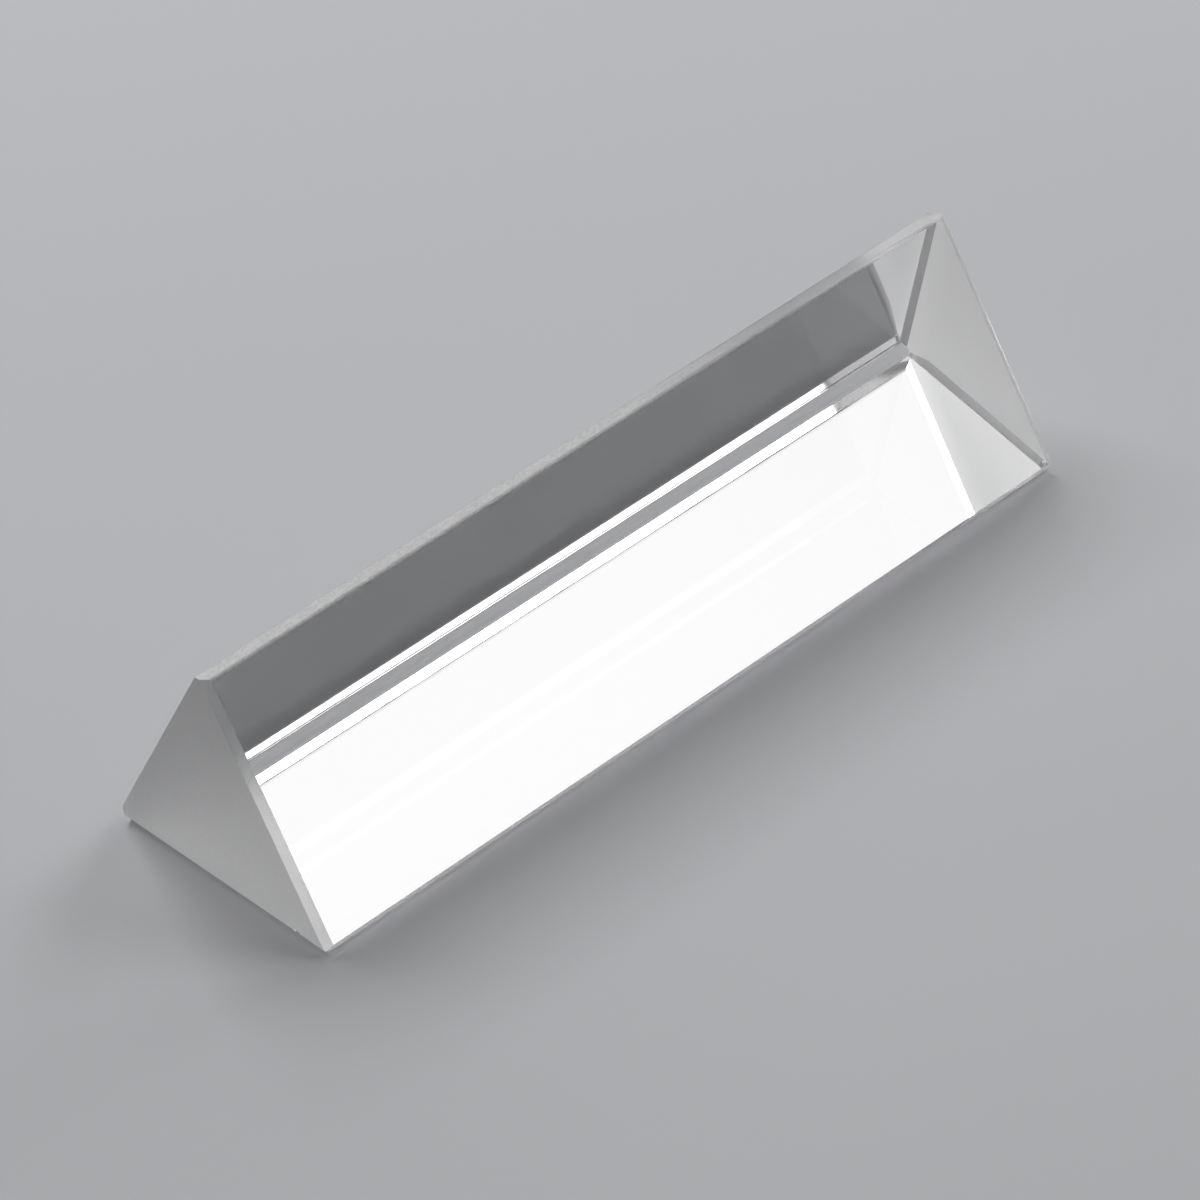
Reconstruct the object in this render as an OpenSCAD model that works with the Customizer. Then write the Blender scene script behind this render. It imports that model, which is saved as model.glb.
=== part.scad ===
// Equilateral glass prism for splitting light, lying on one of its three polished faces.
// One block of clear crown glass: polished long faces, fine-ground ends, and a narrow flat
// ground along every edge so that none of them is sharp.
// Millimetres. X runs along the block, Z is up, and the origin is the middle of the rest face.

/* [Block] */
// Side of the triangle, measured to where the polished faces would meet
side_w = 25; // [15:0.5:60]
// Length of the block, from one ground end to the other
block_l = 80; // [30:1:200]

/* [Ground edges] */
// Width of the flat ground along the top edge
ridge_flat = 1.2; // [0.3:0.1:3]
// Width of the flats ground along the two lower edges
base_flat = 1.2; // [0.3:0.1:3]
// How far the flats round each end reach, along the block and across the end
end_flat = 0.6; // [0.2:0.1:2]

/* [Hidden] */

// Corner angle of the triangle, and the turn from one polished face to the next
corner_angle = 60;
face_turn = 180 - corner_angle;
face_count = 3;

// Height of the full triangle, and of the middle line that all three faces lie round
full_h = side_w * sin(corner_angle);
middle_h = side_w / 2 * tan(corner_angle / 2);

// The triangle's corners before grinding, in the plane across the block: [Y, Z]
top_corner = [0, full_h];
front_corner = [-side_w / 2, 0];
back_corner = [side_w / 2, 0];

// The wedge that grinds an end's rim starts this far outside the glass
clear = 1;

// Point on the side from one corner to another, one flat's width along it
function along(from, to, flat) = from + flat * (to - from) / side_w;

// Both ends of the flat that takes off one corner
function ground_corner(corner, before, after, flat) =
    [along(corner, before, flat), along(corner, after, flat)];

// Cross-section of the block: the triangle with its three corners ground flat
module ground_triangle() {
    polygon(concat(
        ground_corner(top_corner, back_corner, front_corner, ridge_flat),
        ground_corner(front_corner, top_corner, back_corner, base_flat),
        ground_corner(back_corner, front_corner, top_corner, base_flat)
    ));
}

// The bar that the block is cut from, still with sharp rims at its ends
module ground_bar() {
    rotate([90, 0, 90])
        linear_extrude(block_l, center = true)
            ground_triangle();
}

// What is ground away where the rest face meets the end at +X: a wedge at 45 degrees
module rim_wedge() {
    translate([block_l / 2 - end_flat, 0, 0])
        rotate([90, 0, 0])
            linear_extrude(side_w + 2 * clear, center = true)
                polygon([
                    [-clear, -clear],
                    [end_flat + clear, -clear],
                    [end_flat + clear, end_flat + clear]
                ]);
}

// Turns what belongs to the rest face round to another of the three faces
module on_face(index) {
    translate([0, 0, middle_h])
        rotate([index * face_turn, 0, 0])
            translate([0, 0, -middle_h])
                children();
}

// The glass block itself
module prism_block() {
    color([0.86, 0.88, 0.90, 0.55])
        difference() {
            ground_bar();
            for (index = [0 : face_count - 1], end = [0, 1])
                on_face(index)
                    mirror([end, 0, 0])
                        rim_wedge();
        }
}

prism_block();
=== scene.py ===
# %% [markdown]
# A glass prism, the kind that splits sunlight into a rainbow on a classroom wall. It is one block of clear
# crown glass: three polished faces, two fine-ground ends, and a narrow flat ground along every edge. The
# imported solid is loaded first, because its faces are the sizes that everything below follows.

# %% Load the solid
import math

import bpy
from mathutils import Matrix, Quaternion, Vector


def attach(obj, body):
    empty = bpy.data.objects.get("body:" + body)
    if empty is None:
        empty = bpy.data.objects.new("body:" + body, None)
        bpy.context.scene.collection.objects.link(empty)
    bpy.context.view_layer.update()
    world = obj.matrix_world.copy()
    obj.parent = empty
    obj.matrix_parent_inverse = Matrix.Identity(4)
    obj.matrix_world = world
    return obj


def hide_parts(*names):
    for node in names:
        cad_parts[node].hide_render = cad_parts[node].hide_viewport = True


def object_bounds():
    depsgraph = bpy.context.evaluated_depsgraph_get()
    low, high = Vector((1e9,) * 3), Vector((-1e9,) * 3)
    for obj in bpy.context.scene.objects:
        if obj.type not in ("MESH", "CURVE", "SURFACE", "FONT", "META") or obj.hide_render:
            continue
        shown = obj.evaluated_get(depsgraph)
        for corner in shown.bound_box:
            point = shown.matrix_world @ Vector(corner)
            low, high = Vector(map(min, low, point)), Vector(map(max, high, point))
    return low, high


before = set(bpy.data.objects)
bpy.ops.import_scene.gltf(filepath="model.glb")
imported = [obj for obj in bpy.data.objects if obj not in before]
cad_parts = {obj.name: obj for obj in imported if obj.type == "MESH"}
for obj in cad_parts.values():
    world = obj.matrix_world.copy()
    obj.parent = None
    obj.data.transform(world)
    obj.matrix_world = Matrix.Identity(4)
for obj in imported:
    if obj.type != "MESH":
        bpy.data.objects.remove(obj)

MM = 0.001
cad_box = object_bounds()
low, high = cad_box
print("solid, in mm:", [round(side / MM, 2) for side in high - low])

# %% [markdown]
# The camera comes next, so that every later picture can be held against the photograph. A long lens from
# half a metre away keeps the block's sides almost parallel. The angles were found by fitting the block's
# edges to the photograph: the camera stands in front and to the left, looks down, and is tipped a little.

# %% Place the camera
PHOTO_PX = 1200
FOCAL_PX = 6370
SENSOR_MM = 36
CAMERA_TURN, CAMERA_HEIGHT, CAMERA_TIP = -41.91, 39.10, -3.65
CAMERA_FAR = 503.3 * MM
LOOKED_AT = Vector((0.20, -0.14, 4.08)) * MM


def direction(turn, height):
    """The way from the block to a place turned round it and raised above it, both in degrees."""
    turn, height = math.radians(turn), math.radians(height)
    flat = math.cos(height)
    return Vector((math.sin(turn) * flat, -math.cos(turn) * flat, math.sin(height)))


towards_camera = direction(CAMERA_TURN, CAMERA_HEIGHT)
lens = bpy.data.cameras.new("photo_camera")
lens.sensor_width = SENSOR_MM
lens.lens = FOCAL_PX / PHOTO_PX * SENSOR_MM
lens.clip_start = CAMERA_FAR / 100
camera = bpy.data.objects.new("photo_camera", lens)
camera.location = LOOKED_AT + towards_camera * CAMERA_FAR
camera.rotation_mode = "QUATERNION"
level = (-towards_camera).to_track_quat("-Z", "Y")
camera.rotation_quaternion = level @ Quaternion((0, 0, 1), math.radians(CAMERA_TIP))
bpy.context.scene.collection.objects.link(camera)
bpy.context.scene.camera = camera
print("lens of", round(lens.lens), "mm")

# %% [markdown]
# A prism is a set of planes. In the workshop a sawn blank, a little too big, is ground down to one plane
# after another, and the same is done here. The planes are read from the solid, one for each way that its
# faces look, so the finished block has the solid's sizes without any of them being typed again.

# %% Read the planes to grind
SAME_WAY = math.cos(math.radians(1))
planes = []
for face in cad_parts["prism_block"].data.polygons:
    if all(face.normal.dot(outward) < SAME_WAY for point, outward in planes):
        planes.append((face.center.copy(), face.normal.copy()))
print(len(planes), "planes to grind")

# %% [markdown]
# The edges were ground by hand, and the photograph shows where the hand was uneven. Some planes are
# therefore swapped for others before anything is cut. A new plane goes through three points, which are
# measured from the sharp corners that the triangle had before grinding. Those follow from one sloping face:
# where it meets the table, and 60 degrees up from there.

# %% Find the sharp corners
ALONG, UP = Vector((1, 0, 0)), Vector((0, 0, 1))
FACE_TILT, CORNER_ANGLE = 30, 60
FRONT, BACK = direction(0, FACE_TILT), direction(180, FACE_TILT)
middle = (low + high) / 2


def plane_like(way):
    """The number of the plane that looks most nearly this way."""
    return max(range(len(planes)), key=lambda number: planes[number][1].dot(way))


def plane_through(a, b, c):
    """The plane through three points, looking out of the block."""
    outward = (b - a).cross(c - a).normalized()
    return a, outward if outward.dot(a - middle) > 0 else -outward


point, outward = planes[plane_like(BACK)]
half_side = point.dot(outward) / outward.y
top_corner = Vector((0, 0, half_side * math.tan(math.radians(CORNER_ANGLE))))


def low_corner(face_way):
    """Where a sloping face would meet the table without its flat."""
    return Vector((0, math.copysign(half_side, face_way.y), 0))


print("sharp side:", round(2 * half_side / MM, 2), "mm")

# %% [markdown]
# The flat along the lower back edge leans: it reaches further up the back face than in under the block. It
# matters more than its size suggests, because the camera sees a lamp in it, as the thin bright strips in
# the middle of the picture. Its plane goes through a point on the back face and one under the block, and
# runs along it.

# %% Lean the lower back flat
LEANING_UP, LEANING_UNDER = 1.68 * MM, 1.2 * MM
corner = low_corner(BACK)
up_the_face = (top_corner - corner).normalized()
on_back = corner + up_the_face * LEANING_UP
under = corner - Vector((0, LEANING_UNDER, 0))
lower_back = plane_like(Vector((0, BACK.y, -BACK.z)))
planes[lower_back] = plane_through(on_back, under, on_back + ALONG)
print("lower back flat:", round((on_back - under).length / MM, 2), "mm wide")

# %% [markdown]
# The rims round the ends are uneven too. At the near end the back rim is hardly touched. At the far end the
# back rim lies further in, and the end fades towards it. The front rim there runs out towards the table
# beside a second, shallow flat, and the rim along the table is shallow and gets narrower to the front. Each
# rim has a reach along the block, at the top edge and at the table, and reaches across the end by a
# multiple of that: 1 is 45 degrees.

# %% Grind the rims unevenly
NEAR_BACK = 0.1 * MM
FAR_BACK_TOP, FAR_BACK_LOW = 1.08 * MM, 1.02 * MM
FADING_TOP, FADING_LOW, FADING_ACROSS = 0.66 * MM, 0.61 * MM, 5.0
FAR_FRONT_TOP, FAR_FRONT_LOW = 0.65 * MM, 0.1 * MM
SHALLOW_TOP, SHALLOW_LOW, SHALLOW_ACROSS = 0.85 * MM, 0.45 * MM, 0.22
FAR_REST_FRONT, FAR_REST_BACK, FAR_REST_ACROSS = 0.55 * MM, 0.68 * MM, 0.7


def rim_plane(face_way, end_x, top_reach, low_reach, across=1.0):
    """A rim flat between a sloping face and an end, with its reach at the top edge and at the table."""
    inward = ALONG * -math.copysign(1, end_x)
    end = ALONG * end_x
    return plane_through(
        top_corner + end + inward * top_reach,
        low_corner(face_way) + end + inward * low_reach,
        top_corner + end - face_way * top_reach * across,
    )


planes[plane_like(BACK - ALONG)] = rim_plane(BACK, low.x, NEAR_BACK, NEAR_BACK)
planes[plane_like(BACK + ALONG)] = rim_plane(BACK, high.x, FAR_BACK_TOP, FAR_BACK_LOW)
planes[plane_like(FRONT + ALONG)] = rim_plane(FRONT, high.x, FAR_FRONT_TOP, FAR_FRONT_LOW)
far_front = low_corner(FRONT) + ALONG * high.x
far_back = low_corner(BACK) + ALONG * high.x
planes[plane_like(ALONG - UP)] = plane_through(
    far_front - ALONG * FAR_REST_FRONT,
    far_back - ALONG * FAR_REST_BACK,
    far_front + UP * (FAR_REST_FRONT * FAR_REST_ACROSS),
)
planes.append(rim_plane(FRONT, high.x, SHALLOW_TOP, SHALLOW_LOW, SHALLOW_ACROSS))
planes.append(rim_plane(BACK, high.x, FADING_TOP, FADING_LOW, FADING_ACROSS))
print(len(planes), "planes with the uneven rims")

# %% [markdown]
# The top flat isn't quite flat either. The wheel left it a little crowned, so its brightness changes softly
# from side to side. Four narrow planes take the place of the one: two lean away from its highest line, and
# two roll off further out. A curved strip could be modelled instead, but planes keep to the one tool that
# cuts all the rest.

# %% Crown the top flat
HIGHEST_AT = -0.3 * MM
BACK_HALF = {"rolls_at": 0.4 * MM, "lean": 1.4, "roll": 5}
FRONT_HALF = {"rolls_at": -0.43 * MM, "lean": -2, "roll": -7}


def crown_plane(y, drop, lean):
    """A plane along the top, through a point on its profile, leaning to the back by an angle."""
    return Vector((0, y, high.z - drop)), Vector((0, math.sin(lean), math.cos(lean)))


planes.pop(plane_like(UP))
for half in (BACK_HALF, FRONT_HALF):
    lean, roll = math.radians(half["lean"]), math.radians(half["roll"])
    drop = (half["rolls_at"] - HIGHEST_AT) * math.tan(lean)
    planes.append(crown_plane(HIGHEST_AT, 0, lean))
    planes.append(crown_plane(half["rolls_at"], drop, roll))
print(len(planes), "planes to grind, four of them along the top")

# %% [markdown]
# The blank is a three-sided cylinder, larger than the block all round, so that every plane has glass to
# take off. Blender's tools act on whatever is selected, so a small helper lets go of everything before each
# new step.

# %% Saw the blank
SAW_ALLOWANCE = 1.2


def start_clean():
    """Leaves edit mode and lets go of everything, so that the next tool touches only what it should."""
    if bpy.context.mode != "OBJECT":
        bpy.ops.object.mode_set(mode="OBJECT")
    bpy.ops.object.select_all(action="DESELECT")


start_clean()
bpy.ops.mesh.primitive_cylinder_add(
    vertices=3,
    radius=high.z * SAW_ALLOWANCE,
    depth=(high.x - low.x) * SAW_ALLOWANCE,
    location=middle,
    rotation=(math.pi / 2, 0, math.pi / 2),
)
block = bpy.context.object
block.name = "glass_block"
block.data.name = "glass_block"
bpy.ops.object.transform_apply(location=True, rotation=True, scale=True)
print("blank:", len(block.data.polygons), "faces")

# %% [markdown]
# Bisect does what a grinding wheel does: it cuts along a plane, throws away what is outside, and fills the
# cut. Some corners lie only hundredths of a millimetre apart and are real, so the distance at which points
# are merged is set far below that. At its default, Bisect would pull such corners together.

# %% Grind every plane
SAME_SPOT = 0.0001 * MM
bpy.ops.object.mode_set(mode="EDIT")
for point, outward in planes:
    bpy.ops.mesh.select_all(action="SELECT")
    bpy.ops.mesh.bisect(
        plane_co=point, plane_no=outward, use_fill=True, clear_outer=True, threshold=SAME_SPOT
    )
bpy.ops.mesh.select_all(action="SELECT")
bpy.ops.mesh.remove_doubles(threshold=SAME_SPOT)
bpy.ops.mesh.normals_make_consistent(inside=False)
bpy.ops.object.mode_set(mode="OBJECT")
print("ground block:", len(block.data.polygons), "faces,", len(block.data.edges), "edges")

# %% [markdown]
# No ground edge stays sharp. The two edges of the top flat were rounded by hand on a fine wheel, which is
# why the light fades out softly there, and so were the two edges of the leaning flat. These edges are
# picked by their place.

# %% Pick the rounded edges
RIDGE_HALF = 0.5 * MM
RIDGE_LOW = high.z - 0.1 * MM
CLOSE_BY = 0.18 * MM


def edges_where(wanted):
    """The edges of the block whose two ends pass a test."""
    corners = block.data.vertices
    return [edge for edge in block.data.edges if wanted(*(corners[index].co for index in edge.vertices))]


def pick_edges(wanted):
    """Selects the edges that pass a test, and nothing else."""
    start_clean()
    bpy.context.view_layer.objects.active = block
    block.select_set(True)
    bpy.ops.object.mode_set(mode="EDIT")
    bpy.ops.mesh.select_mode(type="EDGE")
    bpy.ops.mesh.select_all(action="DESELECT")
    bpy.ops.object.mode_set(mode="OBJECT")
    for edge in edges_where(wanted):
        edge.select = True
    bpy.ops.object.mode_set(mode="EDIT")


def beside_top_flat(a, b):
    """True for the two long edges where the top flat meets the sloping faces."""
    runs_along = abs(a.x - b.x) > abs(a.y - b.y) + abs(a.z - b.z)
    return runs_along and min(a.z, b.z) > RIDGE_LOW and min(abs(a.y), abs(b.y)) > RIDGE_HALF


def along(spot):
    """A test for the edge that runs along the block through one spot of its section."""
    return lambda a, b: all((end - spot).yz.length < CLOSE_BY for end in (a, b))


print("edges beside the top flat:", len(edges_where(beside_top_flat)))

# %% [markdown]
# Every other edge has only its sharpness taken off. The wide roundings are made first, each with the Bevel
# tool on the picked edges, and a Bevel modifier then finds all edges that are still sharp by their angle.

# %% Round the edges
RIDGE_ROUND, BACK_ROUND, UNDER_ROUND = 0.18 * MM, 0.2 * MM, 0.1 * MM
TOUCHED_EDGE = 0.07 * MM
STILL_SHARP = math.radians(20)
for test, offset in (
    (beside_top_flat, RIDGE_ROUND),
    (along(on_back), BACK_ROUND),
    (along(under), UNDER_ROUND),
):
    pick_edges(test)
    bpy.ops.mesh.bevel(offset=offset, segments=5, profile=0.5)
bpy.ops.object.mode_set(mode="OBJECT")
softened = block.modifiers.new("touched_edges", "BEVEL")
softened.width = TOUCHED_EDGE
softened.segments = 2
softened.limit_method = "ANGLE"
softened.angle_limit = STILL_SHARP
bpy.ops.object.modifier_apply(modifier=softened.name)
print("rounded block:", len(block.data.polygons), "faces")

# %% [markdown]
# Glass that has been handled is never quite whole. The photograph shows a chip on the bottom edge of the
# near end, one on the bottom edge of the far end by its front corner, and a tiny pit in the near end. Each
# is scooped out with a small flattened ball, which leaves the shell-shaped hollow that a real chip has. A
# chip is given by the place of its ball and the ball's half sizes.

# %% Strike the chips
NEAR_CHIP = Vector((-40.0, -8.4, 0.6)) * MM, Vector((0.18, 0.34, 0.16)) * MM
FAR_CHIP = Vector((39.8, -10.57, 0.24)) * MM, Vector((0.27, 0.28, 0.27)) * MM
TINY_PIT = Vector((-40.0, 1.87, 8.74)) * MM, Vector((0.05, 0.09, 0.09)) * MM
CHIPS = [NEAR_CHIP, FAR_CHIP, TINY_PIT]
for place, size in CHIPS:
    start_clean()
    bpy.ops.mesh.primitive_ico_sphere_add(subdivisions=3, radius=1, location=place, scale=size)
    ball = bpy.context.object
    scoop = block.modifiers.new("chip", "BOOLEAN")
    scoop.operation = "DIFFERENCE"
    scoop.object = ball
    bpy.context.view_layer.objects.active = block
    bpy.ops.object.modifier_apply(modifier=scoop.name)
    bpy.data.objects.remove(ball)
print("chipped block:", len(block.data.polygons), "faces")

# %% [markdown]
# One block, several finishes. Which finish a face has follows from the way it looks: nearly along the block
# for the ends, straight out of one of the three sides for the polished faces, and anything else is an edge
# flat. The hollow of a chip breaks bright, so it counts as polished.

# %% Sort the faces by finish
NEARLY_END = math.cos(math.radians(16))
RIM_SLANT = 0.2
HOLLOW_REACH = 1.05
POLISHED_SIDES = [-UP, FRONT, BACK]


def in_chip(spot):
    """True if a spot lies on the hollow of a chip."""
    ways = (Vector((spot - place)[axis] / size[axis] for axis in range(3)) for place, size in CHIPS)
    return any(way.length < HOLLOW_REACH for way in ways)


def finish_of(face):
    """The finish of one face of the block."""
    if max(face.normal.dot(side) for side in POLISHED_SIDES) > SAME_WAY or in_chip(face.center):
        return "polished"
    if abs(face.normal.x) > NEARLY_END:
        return "ground_end"
    if abs(face.normal.x) > RIM_SLANT:
        return "rim_flat"
    return "ridge_flat" if face.center.z > middle.z else "lower_flat"


finish_names = ["polished", "ground_end", "rim_flat", "ridge_flat", "lower_flat"]
found = [finish_of(face) for face in block.data.polygons]
for face, finish in zip(block.data.polygons, found):
    face.material_index = finish_names.index(finish)
print({name: found.count(name) for name in finish_names})

# %% [markdown]
# Smooth shading lets the roundings catch the light as curves. On its own it would bend the big flat faces
# as well, and a bent face in clear glass shows at once, as a warped picture behind it. The Weighted Normal
# modifier lets the largest faces lead, so they stay flat and only the narrow roundings turn.

# %% Smooth the rounded edges
start_clean()
block.select_set(True)
bpy.context.view_layer.objects.active = block
bpy.ops.object.shade_smooth()
even = block.modifiers.new("flat_faces_lead", "WEIGHTED_NORMAL")
even.mode = "FACE_AREA"
even.weight = 100
even.thresh = 0.0001
bpy.ops.object.modifier_apply(modifier=even.name)
print("smooth faces:", sum(face.use_smooth for face in block.data.polygons))


# %% [markdown]
# Shader maths reads best as plain expressions. A small class wraps a socket of a node tree, and its
# operators add the Math nodes, so that a line such as `0.2 + 0.5 * mask` builds itself. Every other node
# comes from `node`.

# %% Shader maths
class Wire:
    """One output of a shader node, which can be used in sums."""

    def __init__(self, tree, socket):
        self.tree = tree
        self.socket = socket

    def node(self, kind, settings=None, output=0, **values):
        """Adds a node and returns one output. Sockets go by name, or by number as i0, i1 and so on."""
        made = self.tree.nodes.new(kind)
        for name, value in (settings or {}).items():
            setattr(made, name, value)
        for name, value in values.items():
            key = int(name[1:]) if name[1:].isdigit() else name.replace("_", " ")
            socket = made.inputs[key]
            if isinstance(value, Wire):
                self.tree.links.new(value.socket, socket)
            else:
                socket.default_value = value
        return Wire(self.tree, made.outputs[output])

    def maths(self, operation, a, b):
        return self.node("ShaderNodeMath", {"operation": operation}, i0=a, i1=b)

    def __add__(self, other):
        return self.maths("ADD", self, other)

    def __radd__(self, other):
        return self.maths("ADD", other, self)

    def __sub__(self, other):
        return self.maths("SUBTRACT", self, other)

    def __rsub__(self, other):
        return self.maths("SUBTRACT", other, self)

    def __mul__(self, other):
        return self.maths("MULTIPLY", self, other)

    def __rmul__(self, other):
        return self.maths("MULTIPLY", other, self)


# %% [markdown]
# Crown glass has a refractive index of 1.517 and takes almost no light away, so what the eye sees is how
# its surface was finished. Polished, it has no roughness at all, and all light goes through. A ground
# surface lets only a share through and throws the rest back white, so that share can be given here too.

# %% Make the clear glass
CROWN_IOR = 1.517
CLEAR_WHITE, GLASS_WHITE = (1, 1, 1, 1), (0.9, 0.9, 0.9, 1)


def crown_glass(name, clear=1.0):
    """Crown glass that lets a share of the light through and throws the rest back white."""
    made = bpy.data.materials.new(name)
    made.use_nodes = True
    shader = made.node_tree.nodes["Principled BSDF"]
    shader.inputs["Base Color"].default_value = CLEAR_WHITE if clear == 1 else GLASS_WHITE
    shader.inputs["Transmission Weight"].default_value = clear
    shader.inputs["IOR"].default_value = CROWN_IOR
    shader.inputs["Roughness"].default_value = 0
    return made


polished = crown_glass("polished_glass")
print("clear glass:", polished.name)

# %% [markdown]
# Grinding leaves a surface full of tiny pits. A fine noise stands for them: it varies the white a little,
# roughens the surface, and feeds a bump. On the long flats it is drawn out along the block, the way that
# the wheel ran. The ends look greyer towards the top, where they get less light, and that shade is painted
# in: their white falls off upwards.
# All of it is placed in the block's own coordinates, so the grain stays where it is from every side.

# %% Make the ground glass
PIT_DEPTH = 0.003 * MM
NOISE_LOW, NOISE_HIGH = 0.3, 0.7
DARKEST_GRAIN, PALEST_GRAIN = 0.7, 0.98
# the white at the foot of the painted shade, which falls off upwards from there
PAINTED_SHADE_BOTTOM = 1.1


def places_on(material):
    """The place of every point on the block, measured in the block itself."""
    tree = material.node_tree
    return Wire(tree, tree.nodes.new("ShaderNodeTexCoord").outputs["Object"])


def ground_glass(name, rough, spread, grain, drawn=1.0, clear=1.0, shade_painted_upwards=0.0):
    """Crown glass with a ground surface, whose grain can be drawn out and whose white can fall off upwards
    as painted shade.
    """
    made = crown_glass(name, clear)
    tree = made.node_tree
    shader = tree.nodes["Principled BSDF"]
    place = places_on(made)
    stretched = place.node("ShaderNodeMapping", Vector=place, Scale=(1 / drawn, 1, 1))
    marks = place.node("ShaderNodeTexNoise", Vector=stretched, Scale=1 / grain, Detail=3.0)
    white = place.node(
        "ShaderNodeMapRange",
        Value=marks,
        From_Min=NOISE_LOW,
        From_Max=NOISE_HIGH,
        To_Min=DARKEST_GRAIN,
        To_Max=PALEST_GRAIN,
    )
    if shade_painted_upwards:
        # painted shade: the white falls off upwards, because the tops of the ends get less light
        upwards = place.node("ShaderNodeSeparateXYZ", output="Z", Vector=place)
        white = white * (PAINTED_SHADE_BOTTOM - shade_painted_upwards / high.z * upwards)
    tree.links.new(white.socket, shader.inputs["Base Color"])
    tree.links.new((rough + spread * marks).socket, shader.inputs["Roughness"])
    bump = place.node("ShaderNodeBump", Distance=PIT_DEPTH, Height=marks)
    tree.links.new(bump.socket, shader.inputs["Normal"])
    return made


# the ends carry painted shade: their white falls off towards the top
ground_end = ground_glass("ground_end", rough=0.86, spread=0.12, grain=0.06 * MM, clear=0.6, shade_painted_upwards=0.5)
ground_rim = ground_glass("ground_rim", rough=0.4, spread=0.12, grain=0.06 * MM, clear=0.93)
ground_ridge = ground_glass("ground_ridge", rough=0.25, spread=0.3, grain=0.18 * MM, drawn=2, clear=0.55)
ground_lower = ground_glass("ground_lower_edge", rough=0.04, spread=0.08, grain=0.08 * MM, drawn=40)
print("ground glass:", [made.name for made in (ground_end, ground_rim, ground_ridge, ground_lower)])

# %% [markdown]
# Some finishes are mixtures. Deep grinding is milky: part of the light comes through spread evenly to all
# sides, which is what a Translucent shader does. The frosting of the top flat wears thin towards the far
# end, so clearer glass takes over there, by a share that follows the place along the block.

# %% Mix the milky and the worn glass
MILKY_END, MILKY_RIM = 0.4, 0.06
WEAR_STARTS, WEAR_ENDS = 0, 24 * MM
WORN_SHARE, WORN_ROUGH = 0.85, 0.28


def mix_in(finish, share, kind, **values):
    """Mixes a share of a second shader into a finish."""
    tree = finish.node_tree
    first = Wire(tree, tree.nodes["Principled BSDF"].outputs["BSDF"])
    second = first.node(kind, **values)
    both = first.node("ShaderNodeMixShader", i0=share, i1=first, i2=second)
    tree.links.new(both.socket, tree.nodes["Material Output"].inputs["Surface"])


mix_in(ground_end, MILKY_END, "ShaderNodeBsdfTranslucent", Color=GLASS_WHITE)
mix_in(ground_rim, MILKY_RIM, "ShaderNodeBsdfTranslucent", Color=GLASS_WHITE)
ridge_place = places_on(ground_ridge)
worn = ridge_place.node(
    "ShaderNodeMapRange",
    {"interpolation_type": "SMOOTHSTEP"},
    Value=ridge_place.node("ShaderNodeSeparateXYZ", Vector=ridge_place),
    From_Min=WEAR_STARTS,
    From_Max=WEAR_ENDS,
    To_Min=0,
    To_Max=WORN_SHARE,
)
mix_in(
    ground_ridge,
    worn,
    "ShaderNodeBsdfPrincipled",
    Base_Color=CLEAR_WHITE,
    Roughness=WORN_ROUGH,
    IOR=CROWN_IOR,
    Transmission_Weight=1.0,
)
print("milky share of the ends:", MILKY_END, "and of the rims:", MILKY_RIM)

# %% [markdown]
# The faces were sorted by finish before, and each has the number of its finish. So the materials only have
# to be put on the block in the same order.

# %% Give every face its finish
finishes = {
    "polished": polished,
    "ground_end": ground_end,
    "rim_flat": ground_rim,
    "ridge_flat": ground_ridge,
    "lower_flat": ground_lower,
}
for name in finish_names:
    block.data.materials.append(finishes[name])
print("finishes:", [slot.name for slot in block.material_slots])

# %% [markdown]
# The block is the whole part, so it rides on the root.

# %% Seat the block
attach(block, "root")
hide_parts("prism_block")
print("seated:", block.name)

# %% [markdown]
# Glass shows only what is round it, so the studio decides how it looks. The block lies on a plain pale
# table, matt enough to take its shadow softly. The table is a hair lower than the block, so that the two
# never share a place: with that film of air, the rest face mirrors as a real one does.

# %% Lay the table
TABLE_SIDE = 4.0
AIR_FILM = 0.02 * MM
TABLE_GREY = (0.545, 0.55, 0.57, 1)
start_clean()
bpy.ops.mesh.primitive_plane_add(size=TABLE_SIDE, location=(0, 0, -AIR_FILM))
table = bpy.context.object
table.name = "table"
paint = bpy.data.materials.new("pale_table")
paint.use_nodes = True
paint_shader = paint.node_tree.nodes["Principled BSDF"]
paint_shader.inputs["Base Color"].default_value = TABLE_GREY
paint_shader.inputs["Roughness"].default_value = 0.8
paint_shader.inputs["Specular IOR Level"].default_value = 0.2
table.data.materials.append(paint)
print("table:", TABLE_SIDE, "m wide")

# %% [markdown]
# Soft lamps light the scene. The large one behind the block lights the table and casts the shadow forwards.
# The one on the right is what the leaning flat shows as bright strips, and it is small, because a larger
# one would light the table under the block as well and wash out the dark upper half of the picture. Low
# lamps light the two ground ends straight on and hardly reach the sloping faces, and a weak one gives the
# near rim its shine. Each lamp's power is worked out from its brightness and its area, so a change of size
# leaves the brightness alone.

# %% Hang the lamps
LAMP_FAR = 0.8


def soft_box(name, turn, height, wide, tall, radiance):
    """A soft lamp that looks at the block, of an even brightness all over."""
    box = bpy.data.lights.new(name, "AREA")
    box.shape = "RECTANGLE"
    box.size = wide
    box.size_y = tall
    box.energy = radiance * math.pi * wide * tall
    lamp = bpy.data.objects.new(name, box)
    towards = direction(turn, height)
    lamp.location = towards * LAMP_FAR
    lamp.rotation_mode = "QUATERNION"
    lamp.rotation_quaternion = (-towards).to_track_quat("-Z", "Y")
    bpy.context.scene.collection.objects.link(lamp)
    return lamp


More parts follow.
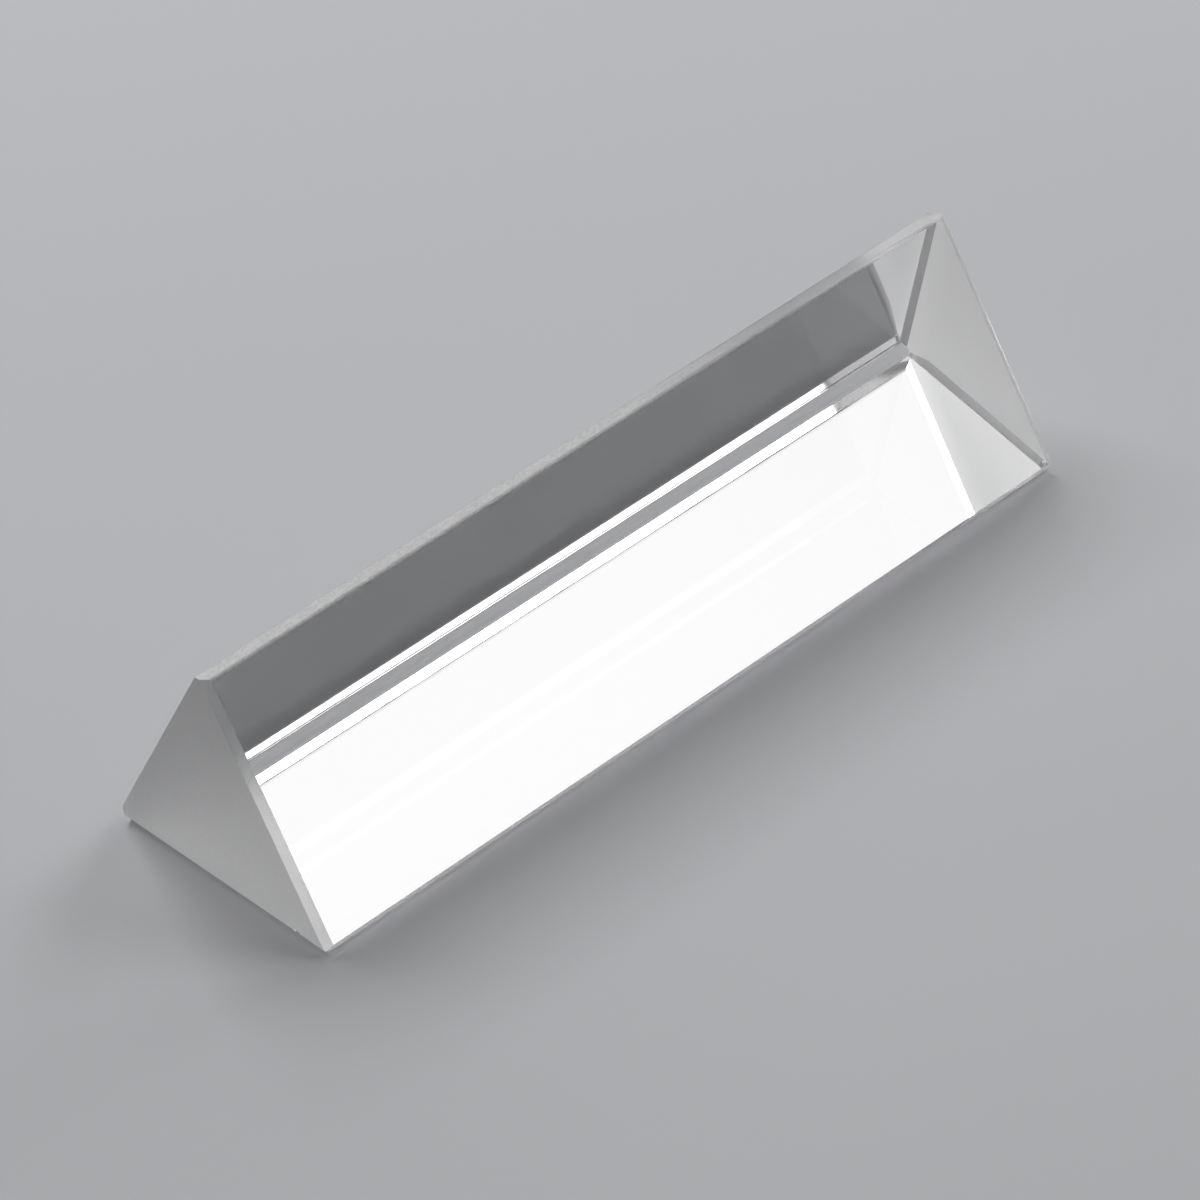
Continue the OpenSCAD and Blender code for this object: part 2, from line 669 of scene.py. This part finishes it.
lamps = [
    soft_box("back_lamp", turn=176, height=50, wide=0.58, tall=0.34, radiance=6.1),
    soft_box("right_lamp", turn=66, height=52, wide=0.42, tall=0.2, radiance=4.6),
    soft_box("rim_lamp", turn=110, height=30, wide=0.3, tall=0.25, radiance=0.7),
    soft_box("low_lamp", turn=102, height=11, wide=0.6, tall=0.22, radiance=5.0),
    soft_box("near_lamp", turn=-90, height=8, wide=0.5, tall=0.2, radiance=2.8),
]
print("lamps:", [lamp.name for lamp in lamps])

# %% [markdown]
# The bright lower half of the picture is the room behind the block on the right, which the rest face
# mirrors to the camera. A soft glow stands there, about as bright as white paper, and it fades out so
# slowly that no border shows in the glass. A lamp would do the same with a hard edge. The rest of the room
# is dim.

# %% Light the room
GLOW_TURN, GLOW_HEIGHT = 146, 46
GLOW_CORE, GLOW_EDGE = 7, 30
GLOW, DIM = 1.06, 0.04
room = bpy.data.worlds.new("dim_room")
room.use_nodes = True
sky = Wire(room.node_tree, room.node_tree.nodes.new("ShaderNodeTexCoord").outputs["Generated"])
nearness = sky.node(
    "ShaderNodeVectorMath",
    {"operation": "DOT_PRODUCT"},
    output="Value",
    i0=sky,
    i1=direction(GLOW_TURN, GLOW_HEIGHT),
)
glow = sky.node(
    "ShaderNodeMapRange",
    {"interpolation_type": "SMOOTHSTEP"},
    Value=nearness,
    From_Min=math.cos(math.radians(GLOW_EDGE)),
    From_Max=math.cos(math.radians(GLOW_CORE)),
    To_Min=DIM,
    To_Max=GLOW,
)
background = room.node_tree.nodes["Background"]
room.node_tree.links.new(glow.socket, background.inputs["Strength"])
background.inputs["Color"].default_value = (1, 1, 1, 1)
bpy.context.scene.world = room
bpy.context.scene.view_settings.view_transform = "Standard"
print("glow of", GLOW, "in a room of", DIM)

# %% [markdown]
# Light that enters the block is mirrored inside it many times before it comes out again. With too few
# bounces it is given up on the way and leaves black patches, so the limits are raised.

# %% Follow the light far enough
light_paths = bpy.context.scene.cycles
light_paths.max_bounces = 32
light_paths.glossy_bounces = 24
light_paths.transmission_bounces = 24
print("up to", light_paths.max_bounces, "bounces")
